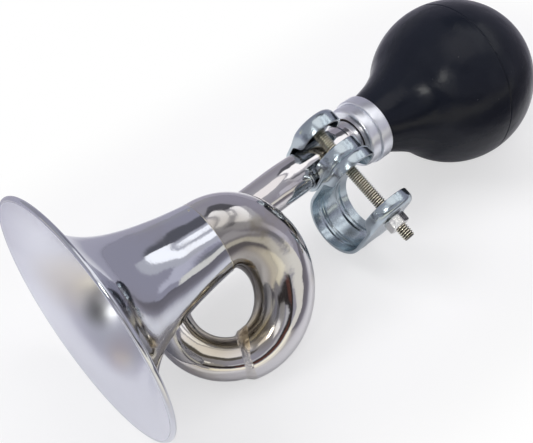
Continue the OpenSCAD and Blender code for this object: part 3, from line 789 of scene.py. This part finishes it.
def build_bands():
    """The small band round the stem, and the larger one that takes the handlebar."""
    band_r = STEM_R + FIT
    bar_y = -band_r - 2 * BAND_T - GAP - BAR_R
    stem = band_mesh("stem_band_vis", 0, BOLT_Z, band_r, up=0.0, rest=0.0, lip_end=2.2, bulge=1.5, rib=0.0)
    bar = band_mesh("bar_band_vis", bar_y, BAR_DROP, BAR_R, up=EAR_UP, rest=REST, lip_end=3.0, bulge=0.0,
                    rib=RIB_DEEP)
    cut_bolt_hole(stem, -14, 14)
    finish_piece(stem, "stem_clamp", "stem_band", BAND_MAT, 48)
    cut_bolt_hole(bar, bar_y - 20, bar_y + 20)
    finish_piece(bar, "bar_clamp", "bar_band", BAND_MAT, 48)


def thread_tree():
    """Geometry Nodes: a flat grid rolled into a threaded rod, in millimetres, along -Y from the origin."""
    g = bpy.data.node_groups.new("Threaded rod", "GeometryNodeTree")
    for label, value in (("Length", 10.0), ("Outer radius", BOLT_R), ("Root radius", THREAD_ROOT),
                         ("Pitch", THREAD_PITCH), ("Tip", 0.7)):
        s = g.interface.new_socket(name=label, in_out="INPUT", socket_type="NodeSocketFloat")
        s.default_value = value
    s = g.interface.new_socket(name="Rows", in_out="INPUT", socket_type="NodeSocketInt")
    s.default_value = 600
    g.interface.new_socket(name="Finish", in_out="INPUT", socket_type="NodeSocketMaterial")
    g.interface.new_socket(name="Geometry", in_out="OUTPUT", socket_type="NodeSocketGeometry")
    i, o = g.nodes.new("NodeGroupInput").outputs, g.nodes.new("NodeGroupOutput").inputs
    grid = add(g, "GeometryNodeMeshGrid", in_0=i["Length"], in_1=1.0, in_2=i["Rows"], in_3=33)
    at = add(g, "ShaderNodeSeparateXYZ", in_0=g.nodes.new("GeometryNodeInputPosition").outputs[0]).outputs
    along = math_node(g, "ADD", at["X"], math_node(g, "MULTIPLY", i["Length"], 0.5))
    turn = math_node(g, "ADD", at["Y"], 0.5)
    phase = math_node(g, "SUBTRACT", math_node(g, "DIVIDE", along, i["Pitch"]), turn)
    ridge = math_node(g, "PINGPONG", phase, 0.5)
    r = ease(g, ridge, 0.12, 0.34, i["Root radius"], i["Outer radius"])
    left = math_node(g, "SUBTRACT", i["Length"], along)
    point = math_node(g, "SUBTRACT", math_node(g, "ADD", i["Outer radius"], left), i["Tip"])
    r = math_node(g, "MINIMUM", r, point)
    for end in (along, left):
        r = math_node(g, "MULTIPLY", r, math_node(g, "GREATER_THAN", end, 0.01))
    angle = math_node(g, "MULTIPLY", turn, 2 * math.pi)
    place = add(g, "ShaderNodeCombineXYZ", in_0=math_node(g, "MULTIPLY", r, math_node(g, "COSINE", angle)),
                in_1=math_node(g, "MULTIPLY", along, -1.0),
                in_2=math_node(g, "MULTIPLY", r, math_node(g, "SINE", angle)))
    moved = add(g, "GeometryNodeSetPosition", in_Geometry=grid.outputs["Mesh"], in_Position=place.outputs[0])
    closed = add(g, "GeometryNodeMergeByDistance", in_Geometry=moved.outputs[0], in_Distance=0.001)
    real = add(g, "GeometryNodeRealizeInstances", in_Geometry=closed.outputs[0])
    done = add(g, "GeometryNodeSetMaterial", in_Geometry=real.outputs[0], in_Material=i["Finish"])
    g.links.new(done.outputs[0], o[0])
    return g


def tree_mesh(name, tree, origin, values):
    """The points and faces a Geometry Nodes tree makes, moved to a place, in the horn's millimetres."""
    o = bpy.data.objects.new(name, bpy.data.meshes.new(name))
    bpy.context.scene.collection.objects.link(o)
    mod = o.modifiers.new("tree", "NODES")
    mod.node_group = tree
    for item in tree.interface.items_tree:
        if item.in_out == "INPUT" and item.name in values:
            mod[item.identifier] = values[item.name]
    mesh = bpy.data.meshes.new_from_object(o.evaluated_get(bpy.context.evaluated_depsgraph_get()))
    o.modifiers.remove(mod)
    bpy.data.objects.remove(o)
    pts = np.array([v.co[:] for v in mesh.vertices]) + np.array(origin)
    faces = [tuple(f.vertices) for f in mesh.polygons]
    bpy.data.meshes.remove(mesh)
    return pts, faces


def bolt_head(head_y):
    """The bolt's low domed head, with a slot cut across it."""
    dome_r, sides = (HEAD_R ** 2 + HEAD_T ** 2) / (2 * HEAD_T), 72
    dome = [(HEAD_T - dome_r + dome_r * math.cos(a), dome_r * math.sin(a))
            for a in np.linspace(math.asin((HEAD_R - 0.05) / dome_r), 0.001, 16)]
    profile = [(0, 0.001), (0, HEAD_R - 0.3), (0.12, HEAD_R - 0.06)] + dome[1:]
    pts = turned(profile, (0, head_y, BOLT_Z), (0, 1, 0), (1, 0, 0), sides)
    head = plain_mesh("head", pts, grid_faces(len(profile), sides, close_rows=True))
    x, z, low, top = 2 * HEAD_R, SLOT_W / 2, head_y + HEAD_T * 0.5, head_y + 2 * HEAD_T
    corners = [(i, j, BOLT_Z + k) for i in (-x, x) for j in (low, top) for k in (-z, z)]
    cut(head, corners, [(0, 1, 3, 2), (4, 6, 7, 5), (0, 4, 5, 1), (2, 3, 7, 6), (0, 2, 6, 4), (1, 5, 7, 3)])
    return head


def build_bolt():
    """The clamp bolt: threaded up to its slotted head."""
    head_y, sunk = STEM_R + FIT + BAND_T, 0.5
    pts, faces = tree_mesh("thread", thread_tree(), (0, head_y + sunk, BOLT_Z), {
        "Length": BOLT_LEN + sunk, "Outer radius": BOLT_R, "Root radius": THREAD_ROOT,
        "Pitch": THREAD_PITCH, "Rows": 620, "Finish": BOLT_MAT})
    head = bolt_head(head_y)
    o = plain_mesh("clamp_bolt_vis", pts, faces)
    both = bmesh.new()
    both.from_mesh(o.data)
    both.from_mesh(head.data)
    both.to_mesh(o.data)
    both.free()
    bpy.data.objects.remove(head)
    finish_piece(o, "bolt", "clamp_bolt", BOLT_MAT, 42)


def build_nut():
    """The hexagon nut: chamfered at both ends, with a countersunk hole."""
    n, y = 144, -(STEM_R + FIT) - 2 * BAND_T - GAP - 2 * BAR_R - BAND_T - FIT
    bore, sink, sixth = BOLT_R + FIT, 0.35, math.pi / 3
    levels = [0, 0.08, 0.16, 0.26, 0.38, 0.55]
    rows = [(u, None) for u in levels + [NUT_T - u for u in levels[::-1]]]
    rows += [(NUT_T, bore + sink), (NUT_T - sink, bore), (sink, bore), (0, bore + sink)]
    pts = []
    for u, r in rows:
        for a in circle(n):
            flat = HEX_W / 2 / math.cos((a + sixth / 2) % sixth - sixth / 2)
            rr = r or min(flat, HEX_W / 2 * 0.96 + min(u, NUT_T - u) * 1.73)
            pts.append((rr * math.cos(a), y - u, BOLT_Z + rr * math.sin(a)))
    o = plain_mesh("clamp_nut_vis", pts, grid_faces(len(rows), n, close_rows=True))
    finish_piece(o, "nut", "clamp_nut", NUT_MAT, 24)


def seam_points(n):
    """The line of solder at the bell's seam, which varies in height and width and drifts a little."""
    c, d = coil_point(0), coil_dir(0)
    side = unit(np.array([-d[1], d[0], 0]))
    up = np.cross(d, side)
    buried = -0.45
    pts = []
    for a in circle(n):
        slow = noise.noise(Vector((3 * math.cos(a), 3 * math.sin(a), 0.5)))
        quick = noise.noise(Vector((9 * math.cos(a), 9 * math.sin(a), 4.5)))
        high, wide, drift = 0.13 + 0.08 * slow + 0.05 * quick, 0.34 + 0.12 * quick, 0.25 * slow
        for q, h in ((-wide, buried), (-wide, 0.0), (-0.5 * wide, 0.75 * high), (0, high),
                     (0.5 * wide, 0.75 * high), (wide, 0.0), (wide, buried)):
            outward = math.cos(a) * side + math.sin(a) * up
            pts.append(c + (THROAT_R + h) * outward + (q + drift) * d)
    return pts


def bead_points(rows, cols):
    """The dropped bead beside the seam: a flattened, slightly lobed ball."""
    out = unit(np.array(BEAD_FACES))
    s1 = unit(np.cross(out, (1, 0, 0)))
    s2 = np.cross(out, s1)
    pts = []
    for i in range(rows):
        e = math.pi * (i + 0.02) / (rows - 1 + 0.04)
        for a in circle(cols):
            r = BEAD_R * math.sin(e) * (1 + 0.25 * math.cos(2 * a + 1) + 0.1 * math.cos(3 * a))
            pts.append(np.array(BEAD_AT) + r * (math.cos(a) * s1 + math.sin(a) * s2)
                       + BEAD_HIGH * math.cos(e) * out)
    return pts


def build_bell_solder():
    """The thin line of solder at the bell's seam, and one dropped bead beside it."""
    n, rows, cols = 240, 9, 24
    seam, bead = seam_points(n), bead_points(rows, cols)
    ends = [tuple(range(cols)), tuple((rows - 1) * cols + k for k in range(cols))]
    faces = grid_faces(n, len(seam) // n, close_rows=True)
    faces += shifted(grid_faces(rows, cols) + ends, len(seam))
    o = plain_mesh("bell_solder_vis", seam + bead, faces)
    finish_piece(o, "horn", "bell_solder", SEAM_MAT, 60)


def joint_path(q):
    """Centre, direction and outer radius at a distance q past the joint; before it is the tube."""
    if q < 0:
        a = BEND_TURN + q / BEND_R
        return bend_point(a), bend_dir(a), max(STEM_R, COIL_OUT + q * 0.62)
    t = 1 - q / COIL_LEN
    return coil_point(t), -coil_dir(t), coil_r(t)


def square_to(v, d):
    """The part of v that is square to d, one unit long."""
    return unit(v - np.dot(v, d) * d)


def build_joint_solder():
    """Rough solder round the end of the loop, spread wide over the inside of the turn."""
    n, m = 150, 30
    inward = unit(np.array([LOOP_X, BELL_Y - COIL_R, joint_p[2] + 9]) - joint_p)
    across = square_to(inward, joint_path(0)[1])
    outer, inner = [], []
    for a in circle(n):
        ca, sa = math.cos(a), math.sin(a)
        spread = max(0.0, ca) ** 2
        low, high = -2.3 - 0.8 * spread, 0.7 + 7.5 * spread
        wander = (0.15 + 0.8 * spread) * noise.noise(Vector((4 * ca, 4 * sa, 1.3)))
        for j in range(m):
            f = j / (m - 1)
            q = low + (high - low) * f + wander
            c, d, r = joint_path(q)
            s0 = square_to(across, d)
            outward = ca * s0 + sa * np.cross(d, s0)
            lump = noise.noise(Vector((9 * ca, 9 * sa, 1.1 * q)))
            fine = noise.noise(Vector((26 * ca, 26 * sa, 3.1 * q)))
            thick = 0.05 + 0.02 * lump + spread * (0.16 + 0.12 * lump + 0.25 * fine)
            thick = thick * min(1, 5 * min(f, 1 - f)) - 0.02
            outer.append(c + (r + (thick if 0 < j < m - 1 else -0.15)) * outward)
            inner.append(c + (r - 0.5) * outward)
    base, e = n * m, m - 1
    faces = grid_faces(n, m, close_rows=True, close_cols=False)
    faces += shifted([f[::-1] for f in faces], base)
    for k in range(n):
        g = (k + 1) % n
        faces.append((k * m, base + k * m, base + g * m, g * m))
        faces.append((k * m + e, g * m + e, base + g * m + e, base + k * m + e))
    o = plain_mesh("coil_solder_vis", outer + inner, faces)
    finish_piece(o, "horn", "coil_solder", SOLDER_MAT)


build_bell()
build_coil_half("coil_upper_half", True)
build_coil_half("coil_lower_half", False)
build_stem()
build_collar()
build_bulb()
build_bands()
build_bolt()
build_nut()
build_bell_solder()
build_joint_solder()

# The CAD's own pieces, such as the reed, take the finish of their slot
finish_of_slot = {"solder": SOLDER_MAT, "stem_plate": STEM_MAT, "brass": BRASS_MAT, "spring_brass": BRASS_MAT,
                  "collar_zinc": COLLAR_MAT, "rubber": RUBBER_MAT, "band_zinc": BAND_MAT,
                  "bolt_zinc": BOLT_MAT, "bell_plate": BELL_MAT, "loop_plate": COIL_MAT}
for part in frame["record"]["subparts"]:
    put_material(frame["nodes"][part["node"]], finish_of_slot[part["material_slot"]])


# Floor, studio, camera and lights
FLOOR_HALF, FLOOR_WHITE = 3, 0.6


def build_floor():
    """A pale floor whose colour away from the horn is a painted reflection for the bright metal: warmer in
    front on the left, darker on the right and behind. The camera sees it mixed with white, the more so
    away from the horn, and the horn's shadow stays on it."""
    mesh, e = bpy.data.meshes.new("floor"), FLOOR_HALF
    corners = [(-e, -e, 0), (e, -e, 0), (e, e, 0), (-e, e, 0)]
    mesh.from_pydata(corners, [], [(0, 1, 2, 3)])
    floor = bpy.data.objects.new("floor", mesh)
    bpy.context.scene.collection.objects.link(floor)
    m, t, shader, coords = new_material("floor_white")
    clouds = add(t, "ShaderNodeTexNoise", in_Vector=coords, in_Scale=3.0)
    near = mix_color(t, clouds.outputs["Fac"], (0.83, 0.83, 0.84, 1), (0.87, 0.87, 0.88, 1))
    # How far a point is from the stretch of floor that the horn lies over
    away = vector_node(t, "SUBTRACT", vector_node(t, "ABSOLUTE", coords), (0.10, 0.0, 0.0))
    away = vector_node(t, "LENGTH", vector_node(t, "MAXIMUM", away, (0.0, 0.0, 0.0)))
    at = add(t, "ShaderNodeSeparateXYZ", in_0=coords).outputs
    # Painted reflections for the bright metal: beige in front on the left, dark on the right, grey behind
    behind = ease(t, at["Y"], -0.2, 0.0, kind="LINEAR")
    right = ease(t, at["X"], -0.08, -0.02, kind="LINEAR")
    distant = mix_color(t, right, (0.95, 0.91, 0.78, 1), (0.20, 0.19, 0.21, 1))
    distant = mix_color(t, behind, distant, (0.42, 0.41, 0.47, 1))
    feed(t, shader.inputs["Base Color"], mix_color(t, ease(t, away, 0.05, 0.14), near, distant))
    shader.inputs["Roughness"].default_value = 0.9
    shader.inputs["Specular IOR Level"].default_value = 0.0
    to_camera = t.nodes.new("ShaderNodeLightPath").outputs["Is Camera Ray"]
    share = math_node(t, "MULTIPLY", to_camera, ease(t, away, 0.05, 0.12, FLOOR_WHITE, 1.0))
    own_white = add(t, "ShaderNodeEmission", in_Color=(1, 1, 1, 1), in_Strength=1.0)
    mixed = add(t, "ShaderNodeMixShader", in_0=share, in_1=shader.outputs[0], in_2=own_white.outputs[0])
    out = next(n for n in t.nodes if n.type == "OUTPUT_MATERIAL")
    t.links.new(mixed.outputs[0], out.inputs[0])
    put_material(floor, m)


# The studio is a grey-lavender room with windows, pale walls, dark corners and two small lamps, each
# as (azimuth, height, half width, half height, soft edge, colour), in degrees, later ones over
# earlier ones. The camera itself sees plain white.
GREY, BEIGE, DARK, WHITE = (0.35, 0.34, 0.41), (0.76, 0.71, 0.56), (0.04, 0.035, 0.035), (1.35, 1.35, 1.38)
LAMP = (20, 20, 19)
STUDIO = [
    (0, 17, 53, 15, 11, GREY),
    (-40, 20, 5, 10, 4, (0.60, 0.59, 0.68)),
    (-55, 10, 4, 9, 3, (0.22, 0.22, 0.25)),
    (37, 50, 20, 10, 5, (0.12, 0.12, 0.14)),
    (-24, 44, 34, 13, 3, (0.55, 0.55, 0.60)),
    (-12, 42.5, 27, 4, 1.2, WHITE),
    (-5, 52, 9, 1.6, 1.0, WHITE),
    (0, 61, 46, 4, 2, WHITE),
    (-47, 47.5, 6, 2.5, 2, (0.20, 0.20, 0.23)),
    (155, 24, 26, 24, 6, (0.40, 0.40, 0.45)),
    (-155, 24, 24, 24, 6, (0.36, 0.36, 0.41)),
    (140, 4, 9, 4, 3, BEIGE),
    (-70, 28, 7, 8, 3, (0.62, 0.62, 0.70)),
    (-75, 6, 28, 5, 2, (0.84, 0.82, 0.76)),
    (-110, 25, 14, 4, 2, (0.60, 0.60, 0.63)),
    (-127, 17.5, 28, 5.5, 1.5, DARK),
    (-110, 15.5, 5, 3, 2, (0.12, 0.055, 0.045)),
    (-116, 0, 22, 6, 3, (1.20, 1.15, 0.96)),
    (-140, 27, 8, 4, 3, (0.38, 0.37, 0.37)),
    (-145, 34, 9, 2.5, 1.5, WHITE),
    (0, 84, 180, 13, 3, (1.15, 1.12, 1.13)),
    (-122, 61, 20, 5, 3, (0.13, 0.12, 0.11)),
    (-165, 25, 9, 4, 3, (0.18, 0.18, 0.20)),
    (-165, 54, 8, 6, 2, WHITE),
    (-162, 40, 2, 1.2, 2.5, LAMP),
    (-160, 46.5, 2, 1.0, 2.5, LAMP),
]
SKY = [(0.0, (0.42, 0.42, 0.44)), (0.35, (0.34, 0.33, 0.39)), (0.7, (0.42, 0.42, 0.47)),
       (1.0, (0.62, 0.62, 0.66))]


def build_studio():
    """The room that lights the horn and shows in its metal."""
    world = bpy.data.worlds.new("studio")
    bpy.context.scene.world = world
    world.use_nodes = True
    t = world.node_tree
    t.nodes.clear()
    look = t.nodes.new("ShaderNodeTexCoord").outputs["Generated"]
    way = add(t, "ShaderNodeSeparateXYZ", in_Vector=look).outputs
    degrees = 180 / math.pi
    azimuth = math_node(t, "MULTIPLY", math_node(t, "ARCTAN2", way["Y"], way["X"]), degrees)
    height = math_node(t, "MULTIPLY", math_node(t, "ARCSINE", way["Z"]), degrees)
    room = ramp(t, ease(t, height, -10.0, 90.0, kind="LINEAR"), SKY)
    for patch in STUDIO:
        values = dict(zip(("At", "Up", "Half width", "Half height", "Soft"), map(float, patch[:5])))
        mask = use(t, PATCH, Azimuth=azimuth, Height=height, **values)
        room = mix_color(t, mask, room, (*patch[5], 1))
    lit = add(t, "ShaderNodeBackground", in_Color=room, in_Strength=1.0)
    seen = add(t, "ShaderNodeBackground", in_Color=(1, 1, 1, 1), in_Strength=1.0)
    to_camera = t.nodes.new("ShaderNodeLightPath").outputs["Is Camera Ray"]
    mixed = add(t, "ShaderNodeMixShader", in_0=to_camera, in_1=lit.outputs[0], in_2=seen.outputs[0])
    t.links.new(mixed.outputs[0], t.nodes.new("ShaderNodeOutputWorld").inputs[0])


# The camera's place, in millimetres, and its right, up and back directions, in the horn's own frame,
# and its focal length in pixels of a picture 533 wide
CAMERA_AT = (-183.92592643, -77.6135496, 306.72871032)
CAMERA_RIGHT = (0.74398551, -0.63286479, 0.21440085)
CAMERA_UP = (0.51676599, 0.74836873, 0.41580905)
CAMERA_BACK = (-0.4236018, -0.19856084, 0.88381848)
FOCAL_PIXELS, PICTURE_WIDTH, SENSOR = 888.632, 533, 36.0


def build_camera():
    data = bpy.data.cameras.new("camera")
    data.sensor_width = SENSOR
    data.lens = FOCAL_PIXELS / PICTURE_WIDTH * SENSOR
    data.clip_start, data.clip_end = 0.01, 20
    camera = bpy.data.objects.new("camera", data)
    bpy.context.scene.collection.objects.link(camera)
    axes = [row_dir(v) for v in (CAMERA_RIGHT, CAMERA_UP, CAMERA_BACK)]
    place = Matrix(axes).transposed().to_4x4()
    place.translation = row_point(*CAMERA_AT)
    camera.matrix_world = place
    bpy.context.scene.camera = camera


def area_light(name, position, size, power):
    """A soft light that looks at the horn's middle and doesn't show in its metal."""
    data = bpy.data.lights.new(name, "AREA")
    data.shape = "RECTANGLE"
    data.size, data.size_y = size
    data.energy = power
    o = bpy.data.objects.new(name, data)
    bpy.context.scene.collection.objects.link(o)
    o.location = position
    o.rotation_euler = (Vector((0, 0, 0.03)) - position).to_track_quat("-Z", "Y").to_euler()
    o.visible_glossy = False


build_floor()
build_studio()
build_camera()
# The main light stands to the left of the picture and above it
area_light("key", -row_dir(CAMERA_RIGHT) * 1.7 + Vector((0, 0, 2.1)), (1.3, 1.3), 34)
area_light("fill", row_dir(CAMERA_UP) * 1.7 + Vector((0, 0, 2.0)), (2.0, 1.0), 14)

scene = bpy.context.scene
scene.view_settings.view_transform = "Standard"
